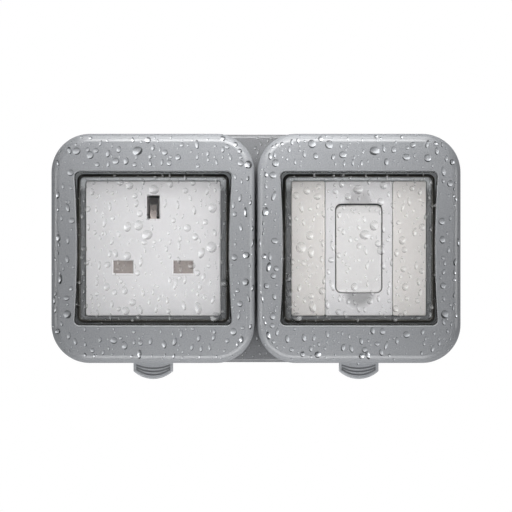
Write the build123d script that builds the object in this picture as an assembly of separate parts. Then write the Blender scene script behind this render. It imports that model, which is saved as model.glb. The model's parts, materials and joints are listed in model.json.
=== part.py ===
from build123d import *
import os

# Outdoor unit for a wall: a 13 A socket behind the left window, a rocker switch behind the right one.
# Millimetres. The origin is the centre of the wall face, +Z is up and the front faces -Y.
# "Depth" is the distance out from the wall, so a point at depth d has y = -d.

# Wiring modules that clip into the frame
MODULE_WIDTH = 25.0
MODULE_HEIGHT = 50.0
MODULE_PLAY = 0.1
PLATE_THICK = 3.0
PLATE_PROUD = 0.5
PLATE_CORNER = 0.7
PLATE_EDGE = 0.4
HOUSING_PLAY = 0.3
HOUSING_WALL = 1.6
HOUSING_DEPTH = 21.5
HOOK_WIDTH = 8.0
HOOK_REACH = 1.2
HOOK_LENGTH = 2.0
HOOK_PLAY = 0.15

# Box on the wall
BOX_DEPTH = 33.0
BOX_WALL = 2.6
BOX_FLOOR = 2.6
BOX_REAR_EDGE = 1.5
BASE_INSET = 0.15
GASKET_WIDTH = 1.2
GASKET_DEPTH = 1.0
GASKET_INSET = 0.7
FIXING_SPAN_X = 110.0
FIXING_SPAN_Z = 50.0
FIXING_RADIUS = 2.6
FIXING_COLLAR = 3.0
FIXING_COLLAR_RISE = 3.5
KNOCKOUT_RADIUS = 10.2
KNOCKOUT_GROOVE = 1.0
KNOCKOUT_DEPTH = 1.2

# Front frame with one plinth behind each lid
FLANGE_THICK = 3.5
FLANGE_EDGE = 1.2
SPIGOT_DEPTH = 2.5
SPIGOT_WALL = 1.6
SPIGOT_PLAY = 0.3
PLINTH_RISE = 6.5
PLINTH_WALL = 2.2
PLINTH_PLATE = 3.2
PLINTH_PLAY = 0.6
APERTURE_PLAY = 0.15
APERTURE_CORNER = 0.8
LEDGE_SIDE = 0.85
LEDGE_END = 2.55
COLLAR_RISE = 1.0
COLLAR_SIDE = 1.6
COLLAR_END = 1.0
FRAME_SCREW_RADIUS = 1.7
FRAME_SCREW_HEAD = 3.0
FRAME_SCREW_HEAD_RISE = 1.8
FRAME_SCREW_SINK = 2.0
FRAME_SCREW_GRIP = 12.0
FRAME_SCREW_INSET_X = 9.0
FRAME_SCREW_INSET_Z = 4.9
BOSS_WALL = 2.3

# Lid seal on the frame
SEAL_GAP = 0.2
SEAL_LAND = 0.8
SEAL_SINK = 1.2
SEAL_RISE = 1.4
SEAL_CORNER = 1.6

# Window tray and its glazing gasket
SKIRT_GAP = 0.5
SKIRT_WALL = 1.6
WINDOW_MARGIN_SIDE = 0.35
WINDOW_MARGIN_END = 0.2
WINDOW_BOW = 1.0
WINDOW_CORNER = 2.0
WINDOW_PLAY = 0.15
WINDOW_LAP = 1.6
WINDOW_LAP_THICK = 1.8
PANE_THICK = 2.0
PANE_SINK = 0.9
GLAZING_THICK = 0.8

# Lids
LID_BORDER_SIDE = 8.3
LID_BORDER_END = 13.85
LID_DEPTH = 17.5
LID_WALL = 2.2
LID_CORNER = 14.2
LID_EDGE = 3.2
LID_INNER_EDGE = 1.0
LID_STANDOFF = 0.5
LID_GAP = 1.0
LIP_EDGE = 0.45

# Lid hinge
KNUCKLE_RADIUS = 2.1
KNUCKLE_WIDTH = 4.0
KNUCKLE_PLAY = 0.3
LUG_WIDTH = 5.0
HINGE_SPAN = 38.0
HINGE_PIN_RADIUS = 1.0
HINGE_PIN_PLAY = 0.05
HINGE_RUN = 0.2
HINGE_RELIEF = 3.5
HINGE_RELIEF_DROP = 3.0
ARM_RISE = 0.5

# Finger tab and catch at the foot of a lid
TAB_WIDTH = 14.6
TAB_DROP = 6.0
TAB_SIDE = 3.1
TAB_THICK = 5.0
TAB_SETBACK = 1.0
TAB_EDGE = 0.4
TAB_GROOVES = 3
TAB_GROOVE_FIRST = 2.3
TAB_GROOVE_PITCH = 1.2
TAB_GROOVE_WIDTH = 0.6
TAB_GROOVE_DEPTH = 0.5
TAB_GROOVE_RADIUS = 17.0
TAB_GROOVE_TIGHTEN = 3.0
TAB_GROOVE_LENGTH = 12.6
CATCH_WIDTH = 12.0
CATCH_BEAD = 0.5
CATCH_BEAD_THICK = 1.1
CATCH_PLAY = 0.2

# 13 A socket: pin pattern, slots, shutter and contacts
PIN_SPACING = 22.2
EARTH_INSET = 9.7
EARTH_SLOT_WIDTH = 4.7
EARTH_SLOT_HEIGHT = 8.6
POLE_SLOT_WIDTH = 7.3
POLE_SLOT_HEIGHT = 4.7
SLOT_EDGE = 0.3
SHUTTER_WIDTH = 30.6
SHUTTER_THICK = 1.6
SHUTTER_COVER = 0.5
SHUTTER_PLAY = 0.15
SHUTTER_TRAVEL = 5.2
SHUTTER_ARM = 2.4
RAMP_DEPTH = 4.8
RAMP_WEB = 1.0
RAIL_WIDTH = 1.3
GUIDE_INNER = 4.5
GUIDE_WIDTH = 1.5
SPRING_PAD = 4.0
SHUTTER_SPRING_RADIUS = 1.4
SHUTTER_SPRING_WIRE = 0.4
SHUTTER_SPRING_TURNS = 5.0
CONTACT_SHEET = 0.6
CONTACT_GAP = 3.6
CONTACT_SEAT = 8.0
CONTACT_LENGTH = 7.2
CONTACT_FLARE = 0.6
POLE_CONTACT_WIDTH = 6.0
EARTH_CONTACT_HEIGHT = 7.0
TAIL_WIDTH = 5.0
SOCKET_COLUMN_X = 18.6
SOCKET_COLUMN_Z = 4.0
SOCKET_COLUMN_RADIUS = 4.2
SOCKET_POST_RADIUS = 3.1
SOCKET_POST_LENGTH = 7.5
SOCKET_SCREW_RADIUS = 1.4
SOCKET_SCREW_HEAD = 2.7
SOCKET_SCREW_SINK = 5.6
SOCKET_SCREW_GRIP = 5.5

# Screw terminals of both modules
TERMINAL_WIDTH = 7.0
TERMINAL_HEIGHT = 7.5
TERMINAL_WIRE_RADIUS = 1.7
TERMINAL_SCREW_RADIUS = 1.6
TERMINAL_SCREW_LENGTH = 3.6
TERMINAL_PLAY = 0.1
EARTH_TERMINAL_SHIFT = 12.0
SCREW_FIT = 0.03
SCREW_SLOT_WIDTH = 0.8
SCREW_SLOT_DEPTH = 0.7

# Rocker switch
ROCKER_WIDTH = 16.7
ROCKER_HEIGHT = 32.2
ROCKER_CORNER = 1.9
ROCKER_EDGE = 0.6
ROCKER_SKIN = 1.7
ROCKER_LIP = 2.1
ROCKER_LIP_RISE = 0.3
ROCKER_TILT = 4.0
ROCKER_FACE = 4.9
ROCKER_SKIRT = 0.4
ROCKER_GAP_SIDE = 0.4
ROCKER_GAP_END = 0.5
SCOOP_RADIUS = 6.5
SCOOP_DEPTH = 1.1
PIVOT_SINK = 1.5
TRUNNION_RADIUS = 1.2
TRUNNION_PLAY = 0.06
TRUNNION_END_PLAY = 0.3
STEM_RADIUS = 3.2
STEM_LENGTH = 7.5
STEM_BORE = 2.05
STEM_BORE_TOP = 1.0
PLUNGER_RADIUS = 1.9
PLUNGER_HEAD = 4.0
ROCKER_SPRING_RADIUS = 1.5
ROCKER_SPRING_WIRE = 0.4
ROCKER_SPRING_TURNS = 4.0
SWITCH_SIDE_PLAY = 1.3
SEESAW_LENGTH = 16.4
SEESAW_WIDTH = 5.0
SEESAW_SHEET = 0.8
SEESAW_TILT = 8.0
SEESAW_HEIGHT = 7.0
SEESAW_RUN = 0.2
RIDGE_RADIUS = 0.4
RIDGE_PLAY = 0.1
FIXED_CONTACT_REACH = 7.0
FIXED_CONTACT_RUN = 0.16
COMMON_TERMINAL_WIDTH = 5.8

# Depths of the faces, from the wall outwards
FLANGE_FRONT = BOX_DEPTH + FLANGE_THICK
PLINTH_FRONT = FLANGE_FRONT + PLINTH_RISE
LEDGE_BACK = PLINTH_FRONT - PLINTH_PLATE
COLLAR_FRONT = PLINTH_FRONT + COLLAR_RISE
PLATE_FRONT = COLLAR_FRONT + PLATE_PROUD
PLATE_BACK = PLATE_FRONT - PLATE_THICK
HOUSING_BACK = PLATE_BACK - HOUSING_DEPTH
HOUSING_FLOOR = HOUSING_BACK + HOUSING_WALL
SEAL_FRONT = PLINTH_FRONT + SEAL_RISE
LID_BACK = FLANGE_FRONT + LID_STANDOFF
LID_FRONT = LID_BACK + LID_DEPTH
LID_CEILING = LID_FRONT - LID_WALL
LAP_FRONT = LID_CEILING - GLAZING_THICK
LAP_BACK = LAP_FRONT - WINDOW_LAP_THICK
PANE_FRONT = LID_FRONT - PANE_SINK
HINGE_DEPTH = FLANGE_FRONT + HINGE_RUN + KNUCKLE_RADIUS

# Outlines, from the modules outwards
APERTURE_WIDTH = 2 * (MODULE_WIDTH + APERTURE_PLAY)
APERTURE_HEIGHT = MODULE_HEIGHT + 2 * APERTURE_PLAY
LEDGE_WIDTH = APERTURE_WIDTH - 2 * LEDGE_SIDE
LEDGE_HEIGHT = APERTURE_HEIGHT - 2 * LEDGE_END
COLLAR_WIDTH = APERTURE_WIDTH + 2 * COLLAR_SIDE
COLLAR_HEIGHT = APERTURE_HEIGHT + 2 * COLLAR_END
TRAY_WIDTH = COLLAR_WIDTH + 2 * SKIRT_GAP
TRAY_HEIGHT = COLLAR_HEIGHT + 2 * SKIRT_GAP
SKIRT_WIDTH = TRAY_WIDTH + 2 * SKIRT_WALL
SKIRT_HEIGHT = TRAY_HEIGHT + 2 * SKIRT_WALL
SEAL_WIDTH = TRAY_WIDTH + 2 * SEAL_LAND
SEAL_HEIGHT = TRAY_HEIGHT + 2 * SEAL_LAND
WINDOW_WIDTH = SKIRT_WIDTH + 2 * WINDOW_MARGIN_SIDE
WINDOW_HEIGHT = SKIRT_HEIGHT + 2 * WINDOW_MARGIN_END
LID_WIDTH = WINDOW_WIDTH + 2 * LID_BORDER_SIDE
LID_HEIGHT = WINDOW_HEIGHT + 2 * LID_BORDER_END
LID_TOP = LID_HEIGHT / 2
LID_FLOOR = LID_WALL - LID_TOP
GANG_X = (LID_WIDTH + LID_GAP) / 2
BASE_WIDTH = 2 * LID_WIDTH + LID_GAP - 2 * BASE_INSET
BASE_HEIGHT = LID_HEIGHT - 2 * BASE_INSET
BASE_CORNER = LID_CORNER - BASE_INSET
CAVITY_WIDTH = BASE_WIDTH - 2 * BOX_WALL
CAVITY_HEIGHT = BASE_HEIGHT - 2 * BOX_WALL
CAVITY_CORNER = BASE_CORNER - BOX_WALL
HINGE_HEIGHT = LID_TOP - KNUCKLE_RADIUS
PLINTH_WIDTH = LID_WIDTH - 2 * (LID_WALL + PLINTH_PLAY)
PLINTH_HEIGHT = 2 * (HINGE_HEIGHT - KNUCKLE_RADIUS - PLINTH_PLAY)
PLINTH_CORNER = LID_CORNER - LID_WALL - PLINTH_PLAY
FRAME_SCREW_X = GANG_X + PLINTH_WIDTH / 2 - FRAME_SCREW_INSET_X
FRAME_SCREW_Z = PLINTH_HEIGHT / 2 - FRAME_SCREW_INSET_Z
FRAME_SCREW_SEAT = PLINTH_FRONT - FRAME_SCREW_SINK
BOSS_RADIUS = FRAME_SCREW_RADIUS + BOSS_WALL

# Inside the socket module
SOCKET_WIDTH = LEDGE_WIDTH - 2 * HOUSING_PLAY
HOUSING_HEIGHT = LEDGE_HEIGHT - 2 * HOUSING_PLAY
HOUSING_FOOT = HOUSING_WALL - HOUSING_HEIGHT / 2
EARTH_HEIGHT = MODULE_HEIGHT / 2 - EARTH_INSET
POLE_X = PIN_SPACING / 2
POLE_HEIGHT = EARTH_HEIGHT - PIN_SPACING
EARTH_LOW = EARTH_HEIGHT - EARTH_SLOT_HEIGHT / 2
SHUTTER_FRONT = PLATE_BACK - SHUTTER_PLAY
SHUTTER_BACK = SHUTTER_FRONT - SHUTTER_THICK
SHUTTER_LOW = POLE_HEIGHT - POLE_SLOT_HEIGHT / 2 - SHUTTER_COVER
SHUTTER_HIGH = POLE_HEIGHT + POLE_SLOT_HEIGHT / 2 + SHUTTER_COVER
SPRING_PAD_LOW = SHUTTER_LOW - RAMP_WEB
SPRING_PAD_BACK = SHUTTER_FRONT - SPRING_PAD
CONTACT_BACK = HOUSING_BACK + CONTACT_SEAT
CONTACT_BASE = CONTACT_BACK + CONTACT_SHEET
POLE_TERMINAL_HEIGHT = HOUSING_FOOT + TERMINAL_PLAY + TERMINAL_HEIGHT / 2
COLUMN_FRONT = PLATE_BACK - SOCKET_POST_LENGTH
SOCKET_SCREW_SEAT = HOUSING_BACK + SOCKET_SCREW_SINK

# Inside the switch module
ROCKER_PIVOT = PLATE_BACK - PIVOT_SINK
ROCKER_FRONT = ROCKER_PIVOT + ROCKER_FACE
SWITCH_INNER_WIDTH = ROCKER_WIDTH + 2 * SWITCH_SIDE_PLAY
SWITCH_WIDTH = SWITCH_INNER_WIDTH + 2 * HOUSING_WALL
SEESAW_PIVOT = HOUSING_FLOOR + SEESAW_HEIGHT
SEESAW_FRONT = SEESAW_PIVOT + SEESAW_SHEET
WAY_TERMINAL_HEIGHT = HOUSING_HEIGHT / 2 - HOUSING_WALL - TERMINAL_PLAY - TERMINAL_HEIGHT / 2
SWITCH_TERMINAL_FRONT = SEESAW_PIVOT
COMMON_X = SWITCH_INNER_WIDTH / 2 - TERMINAL_PLAY - COMMON_TERMINAL_WIDTH / 2


def slab(sketch, back, front):
    # carries a front view, drawn as (x, z), from one depth to another
    return extrude(Plane.XZ.offset(back) * sketch, front - back)


def rail(sketch, left, right):
    # carries a side view, drawn as (depth, z), from one x to another
    side = Plane(origin=(right, 0, 0), x_dir=(0, -1, 0), z_dir=(-1, 0, 0))
    return extrude(side * sketch, right - left)


def pillar(sketch, low, high):
    # carries a plan, drawn as (x, y), from one height to another
    return extrude(Plane.XY.offset(low) * sketch, high - low)


def block(left, right, low, high, back, front):
    face = Rectangle(right - left, high - low)
    return slab(Pos((left + right) / 2, (low + high) / 2) * face, back, front)


def plate_block(width, height, corner, back, front):
    return slab(RectangleRounded(width, height, corner), back, front)


def rod(x, z, radius, back, front):
    return slab(Pos(x, z) * Circle(radius), back, front)


def cross_rod(depth, z, radius, left, right):
    return rail(Pos(depth, z) * Circle(radius), left, right)


def upright_rod(x, depth, radius, low, high):
    return pillar(Pos(x, -depth) * Circle(radius), low, high)


def front_face(solid):
    return solid.faces().sort_by(Axis.Y)[0]


def rear_face(solid):
    return solid.faces().sort_by(Axis.Y)[-1]


def corners(x, z):
    return [(sx * x, sz * z) for sx in (-1, 1) for sz in (-1, 1)]


def window_outline(margin):
    # straight top and bottom, sides bowed in towards the middle
    side = WINDOW_WIDTH / 2 + margin
    top = WINDOW_HEIGHT / 2 + margin
    waist = side - WINDOW_BOW
    edges = [
        Line((-side, top), (side, top)),
        ThreePointArc((side, top), (waist, 0), (side, -top)),
        Line((side, -top), (-side, -top)),
        ThreePointArc((-side, -top), (-waist, 0), (-side, top)),
    ]
    face = make_face(edges)
    return fillet(face.vertices(), WINDOW_CORNER + margin)


def ring_groove(radius):
    return Circle(radius) - Circle(radius - KNOCKOUT_GROOVE)


def back_box():
    box = plate_block(BASE_WIDTH, BASE_HEIGHT, BASE_CORNER, 0, BOX_DEPTH)
    box = fillet(rear_face(box).edges(), BOX_REAR_EDGE)
    box -= plate_block(CAVITY_WIDTH, CAVITY_HEIGHT, CAVITY_CORNER, BOX_FLOOR, BOX_DEPTH)
    for x, z in corners(FRAME_SCREW_X, FRAME_SCREW_Z):
        box += rod(x, z, BOSS_RADIUS, BOX_FLOOR, BOX_DEPTH)
        box -= rod(x, z, FRAME_SCREW_RADIUS + SCREW_FIT, BOX_DEPTH - FRAME_SCREW_GRIP, BOX_DEPTH)
    for x, z in corners(FIXING_SPAN_X / 2, FIXING_SPAN_Z / 2):
        box += rod(x, z, FIXING_RADIUS + FIXING_COLLAR, BOX_FLOOR, BOX_FLOOR + FIXING_COLLAR_RISE)
        box -= rod(x, z, FIXING_RADIUS, 0, BOX_FLOOR + FIXING_COLLAR_RISE)
    groove = ring_groove(KNOCKOUT_RADIUS)
    middle = BOX_DEPTH / 2
    for x in (-GANG_X, GANG_X):
        spot = Pos(x, -middle) * groove
        box -= pillar(spot, BASE_HEIGHT / 2 - KNOCKOUT_DEPTH, BASE_HEIGHT / 2)
        box -= pillar(spot, -BASE_HEIGHT / 2, KNOCKOUT_DEPTH - BASE_HEIGHT / 2)
        box -= slab(Pos(x, 0) * groove, 0, KNOCKOUT_DEPTH)
    side_spot = Pos(middle, 0) * groove
    box -= rail(side_spot, BASE_WIDTH / 2 - KNOCKOUT_DEPTH, BASE_WIDTH / 2)
    box -= rail(side_spot, -BASE_WIDTH / 2, KNOCKOUT_DEPTH - BASE_WIDTH / 2)
    return box - box_gasket()


def box_gasket():
    lip = 2 * GASKET_INSET
    inner = lip + 2 * GASKET_WIDTH
    seat = BOX_DEPTH - GASKET_DEPTH
    ring = plate_block(BASE_WIDTH - lip, BASE_HEIGHT - lip, BASE_CORNER - lip / 2, seat, BOX_DEPTH)
    return ring - plate_block(
        BASE_WIDTH - inner, BASE_HEIGHT - inner, BASE_CORNER - inner / 2, seat, BOX_DEPTH
    )


def lid_seal():
    hole_width = COLLAR_WIDTH + 2 * SEAL_GAP
    hole_height = COLLAR_HEIGHT + 2 * SEAL_GAP
    seat = PLINTH_FRONT - SEAL_SINK
    ring = plate_block(SEAL_WIDTH, SEAL_HEIGHT, SEAL_CORNER + SEAL_LAND, seat, SEAL_FRONT)
    return ring - plate_block(hole_width, hole_height, SEAL_CORNER, seat, SEAL_FRONT)


def seal_seat():
    seat = PLINTH_FRONT - SEAL_SINK
    return plate_block(SEAL_WIDTH, SEAL_HEIGHT, SEAL_CORNER + SEAL_LAND, seat, PLINTH_FRONT)


def hinge_lug(x):
    profile = Pos(HINGE_DEPTH, HINGE_HEIGHT) * Circle(KNUCKLE_RADIUS)
    root = BOX_DEPTH + FLANGE_THICK / 2
    foot = Rectangle(HINGE_DEPTH - root, 2 * KNUCKLE_RADIUS)
    profile += Pos((root + HINGE_DEPTH) / 2, HINGE_HEIGHT) * foot
    lug = rail(profile, x - LUG_WIDTH / 2, x + LUG_WIDTH / 2)
    lug -= block(x - LUG_WIDTH, x + LUG_WIDTH, BASE_HEIGHT / 2 - FLANGE_EDGE, LID_TOP, 0, FLANGE_FRONT)
    return lug - cross_rod(HINGE_DEPTH, HINGE_HEIGHT, HINGE_PIN_RADIUS, x - LUG_WIDTH, x + LUG_WIDTH)


def front_frame():
    frame = plate_block(BASE_WIDTH, BASE_HEIGHT, BASE_CORNER, BOX_DEPTH, FLANGE_FRONT)
    frame = fillet(front_face(frame).edges(), FLANGE_EDGE)
    slack = 2 * SPIGOT_PLAY
    inner = slack + 2 * SPIGOT_WALL
    spigot_back = BOX_DEPTH - SPIGOT_DEPTH
    spigot = RectangleRounded(CAVITY_WIDTH - slack, CAVITY_HEIGHT - slack, CAVITY_CORNER - slack / 2)
    spigot -= RectangleRounded(CAVITY_WIDTH - inner, CAVITY_HEIGHT - inner, CAVITY_CORNER - inner / 2)
    frame += slab(spigot, spigot_back, BOX_DEPTH)
    shrink = 2 * PLINTH_WALL
    for gang in (-GANG_X, GANG_X):
        at = Pos(gang, 0, 0)
        frame += at * plate_block(PLINTH_WIDTH, PLINTH_HEIGHT, PLINTH_CORNER, FLANGE_FRONT, PLINTH_FRONT)
        frame -= at * plate_block(
            PLINTH_WIDTH - shrink, PLINTH_HEIGHT - shrink, PLINTH_CORNER - PLINTH_WALL, BOX_DEPTH, LEDGE_BACK
        )
        frame -= at * seal_seat()
        frame += at * plate_block(COLLAR_WIDTH, COLLAR_HEIGHT, SEAL_CORNER, LEDGE_BACK, COLLAR_FRONT)
        frame -= at * plate_block(
            APERTURE_WIDTH, APERTURE_HEIGHT, APERTURE_CORNER, PLATE_BACK, COLLAR_FRONT
        )
        frame -= at * plate_block(LEDGE_WIDTH, LEDGE_HEIGHT, APERTURE_CORNER, LEDGE_BACK, PLATE_BACK)
        for x in (-HINGE_SPAN / 2, HINGE_SPAN / 2):
            frame += at * hinge_lug(x)
        ridge_low = LID_FLOOR + CATCH_BEAD + CATCH_PLAY
        ridge_back = LID_BACK + CATCH_BEAD_THICK + CATCH_PLAY
        frame += at * block(
            -CATCH_WIDTH / 2,
            CATCH_WIDTH / 2,
            ridge_low,
            -PLINTH_HEIGHT / 2,
            ridge_back,
            ridge_back + CATCH_BEAD_THICK,
        )
    for x, z in corners(FRAME_SCREW_X, FRAME_SCREW_Z):
        frame += rod(x, z, BOSS_RADIUS, BOX_DEPTH, LEDGE_BACK)
        frame -= rod(x, z, FRAME_SCREW_RADIUS + SPIGOT_PLAY, BOX_DEPTH, FRAME_SCREW_SEAT)
        frame -= rod(x, z, FRAME_SCREW_HEAD + SPIGOT_PLAY, FRAME_SCREW_SEAT, PLINTH_FRONT)
    return frame


def slotted_screw(head_radius, head_rise, radius, length):
    # head seated on depth 0 and facing the front, shank running back from it
    screw = rod(0, 0, head_radius, 0, head_rise) + rod(0, 0, radius, -length, 0)
    slot_back = head_rise - SCREW_SLOT_DEPTH
    return screw - block(
        -head_radius, head_radius, -SCREW_SLOT_WIDTH / 2, SCREW_SLOT_WIDTH / 2, slot_back, head_rise
    )


def frame_screws():
    reach = FRAME_SCREW_SEAT - BOX_DEPTH + FRAME_SCREW_GRIP - SPIGOT_PLAY
    screw = slotted_screw(FRAME_SCREW_HEAD, FRAME_SCREW_HEAD_RISE, FRAME_SCREW_RADIUS, reach)
    return [Pos(x, -FRAME_SCREW_SEAT, z) * screw for x, z in corners(FRAME_SCREW_X, FRAME_SCREW_Z)]


def knuckle_spots():
    near = LUG_WIDTH / 2 + KNUCKLE_PLAY
    far = near + KNUCKLE_WIDTH
    spots = []
    for x in (-HINGE_SPAN / 2, HINGE_SPAN / 2):
        spots.append((x - far, x - near))
        spots.append((x + near, x + far))
    return spots


def hinge_pin():
    spots = knuckle_spots()
    return cross_rod(HINGE_DEPTH, HINGE_HEIGHT, HINGE_PIN_RADIUS, spots[0][0], spots[-1][1])


def lid_knuckle(left, right):
    # the arm's upper side slopes down to the barrel, so the open lid clears the flange
    root = HINGE_RELIEF + LID_WALL
    barrel = Pos(HINGE_DEPTH, HINGE_HEIGHT) * Circle(KNUCKLE_RADIUS)
    arm = Polygon(
        (0, -KNUCKLE_RADIUS),
        (root, -KNUCKLE_RADIUS),
        (root, ARM_RISE * HINGE_RELIEF),
        (HINGE_RELIEF, ARM_RISE * HINGE_RELIEF),
        (0, 0),
        align=None,
    )
    return rail(barrel + Pos(HINGE_DEPTH, HINGE_HEIGHT) * arm, left, right)


def finger_tab():
    half = TAB_WIDTH / 2
    outline = make_face(
        [
            Line((-half, LID_WALL), (half, LID_WALL)),
            Line((half, LID_WALL), (half, -TAB_SIDE)),
            ThreePointArc((half, -TAB_SIDE), (0, -TAB_DROP), (-half, -TAB_SIDE)),
            Line((-half, -TAB_SIDE), (-half, LID_WALL)),
        ]
    )
    back = LID_BACK + TAB_SETBACK
    front = back + TAB_THICK
    foot = Pos(0, -LID_TOP)
    tab = slab(foot * outline, back, front)
    tab = fillet(front_face(tab).edges().filter_by(lambda edge: edge.center().Z < -LID_TOP), TAB_EDGE)
    for number in range(TAB_GROOVES):
        level = TAB_GROOVE_FIRST + number * TAB_GROOVE_PITCH
        bend = TAB_GROOVE_RADIUS - number * TAB_GROOVE_TIGHTEN
        arc = Circle(bend) - Circle(bend - TAB_GROOVE_WIDTH)
        arc = Pos(0, bend - level) * arc
        arc &= Pos(0, -TAB_DROP / 2) * Rectangle(TAB_GROOVE_LENGTH, TAB_DROP)
        tab -= slab(foot * arc, front - TAB_GROOVE_DEPTH, front)
    return tab


def lid():
    lid = plate_block(LID_WIDTH, LID_HEIGHT, LID_CORNER, LID_BACK, LID_FRONT)
    lid = fillet(front_face(lid).edges(), LID_EDGE)
    shrink = 2 * LID_WALL
    hollow = plate_block(
        LID_WIDTH - shrink, LID_HEIGHT - shrink, LID_CORNER - LID_WALL, LID_BACK, LID_CEILING
    )
    lid -= fillet(front_face(hollow).edges(), LID_INNER_EDGE)
    lid -= slab(window_outline(0), LID_CEILING, LID_FRONT)
    lid = fillet(front_face(lid).inner_wires()[0].edges(), LIP_EDGE)
    relief_low = HINGE_HEIGHT - HINGE_RELIEF_DROP
    relief_front = HINGE_DEPTH + HINGE_RELIEF
    lid -= block(-LID_WIDTH / 2, LID_WIDTH / 2, relief_low, LID_TOP, LID_BACK, relief_front)
    for left, right in knuckle_spots():
        lid += lid_knuckle(left, right)
    bore = HINGE_PIN_RADIUS + HINGE_PIN_PLAY
    lid -= cross_rod(HINGE_DEPTH, HINGE_HEIGHT, bore, -LID_WIDTH / 2, LID_WIDTH / 2)
    lid += block(
        -CATCH_WIDTH / 2, CATCH_WIDTH / 2, LID_FLOOR, LID_FLOOR + CATCH_BEAD, LID_BACK,
        LID_BACK + CATCH_BEAD_THICK,
    )
    return lid + finger_tab()


def window_seal():
    ring = slab(window_outline(WINDOW_LAP), LAP_FRONT, LID_CEILING)
    return ring - slab(window_outline(0), LAP_FRONT, LID_CEILING)


def window():
    tray = slab(window_outline(WINDOW_LAP), LAP_BACK, LAP_FRONT)
    pane = slab(window_outline(-WINDOW_PLAY), LAP_FRONT, PANE_FRONT)
    tray += fillet(front_face(pane).edges(), PLATE_EDGE)
    tray += plate_block(SKIRT_WIDTH, SKIRT_HEIGHT, SEAL_CORNER + SKIRT_WALL, SEAL_FRONT, LAP_BACK)
    return tray - plate_block(
        TRAY_WIDTH, TRAY_HEIGHT, SEAL_CORNER, SEAL_FRONT, PANE_FRONT - PANE_THICK
    )


def module_plate(width):
    plate = plate_block(
        width - 2 * MODULE_PLAY, MODULE_HEIGHT - 2 * MODULE_PLAY, PLATE_CORNER, PLATE_BACK, PLATE_FRONT
    )
    return fillet(front_face(plate).edges(), PLATE_EDGE)


def hooks():
    # snap hooks that catch behind the frame's ledge, at the head and foot of a module
    front = LEDGE_BACK - HOOK_PLAY
    foot = HOUSING_HEIGHT / 2 - HOUSING_WALL / 2
    reach = HOUSING_HEIGHT / 2 + HOOK_REACH
    half = HOOK_WIDTH / 2
    pair = block(-half, half, foot, reach, front - HOOK_LENGTH, front)
    return pair, block(-half, half, -reach, -foot, front - HOOK_LENGTH, front)


def pole_slot(x):
    face = Rectangle(POLE_SLOT_WIDTH, POLE_SLOT_HEIGHT)
    return slab(Pos(x, POLE_HEIGHT) * face, PLATE_BACK, PLATE_FRONT)


def socket_plate():
    plate = module_plate(2 * MODULE_WIDTH)
    earth = Rectangle(EARTH_SLOT_WIDTH, EARTH_SLOT_HEIGHT)
    plate -= slab(Pos(0, EARTH_HEIGHT) * earth, PLATE_BACK, PLATE_FRONT)
    plate -= pole_slot(-POLE_X)
    plate -= pole_slot(POLE_X)
    rims = [edge for wire in front_face(plate).inner_wires() for edge in wire.edges()]
    plate = chamfer(rims, SLOT_EDGE)
    for side in (-1, 1):
        post_x = side * SOCKET_COLUMN_X
        plate += rod(post_x, SOCKET_COLUMN_Z, SOCKET_POST_RADIUS, COLUMN_FRONT, PLATE_BACK)
        hole = SOCKET_SCREW_RADIUS + SCREW_FIT
        plate -= rod(post_x, SOCKET_COLUMN_Z, hole, COLUMN_FRONT, COLUMN_FRONT + SOCKET_SCREW_GRIP)
        inner = SHUTTER_WIDTH / 2 + SHUTTER_PLAY
        edges = sorted((side * inner, side * (inner + RAIL_WIDTH)))
        rail_low = SHUTTER_LOW - SHUTTER_TRAVEL
        plate += block(edges[0], edges[1], rail_low, SHUTTER_HIGH, SHUTTER_BACK, PLATE_BACK)
    return plate


def terminal_window(x, z, width, height):
    half_width = width / 2 + TERMINAL_PLAY
    half_height = height / 2 + TERMINAL_PLAY
    return block(
        x - half_width, x + half_width, z - half_height, z + half_height, HOUSING_BACK, CONTACT_BACK
    )


def housing_shell(width):
    shell = block(
        -width / 2, width / 2, -HOUSING_HEIGHT / 2, HOUSING_HEIGHT / 2, HOUSING_BACK, PLATE_BACK
    )
    inner = width / 2 - HOUSING_WALL
    shell -= block(-inner, inner, HOUSING_FOOT, -HOUSING_FOOT, HOUSING_FLOOR, PLATE_BACK)
    for hook in hooks():
        shell += hook
    return shell


def wire_entry(x, low, high):
    return upright_rod(x, HOUSING_BACK + CONTACT_SEAT / 2, TERMINAL_WIRE_RADIUS, low, high)


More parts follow.
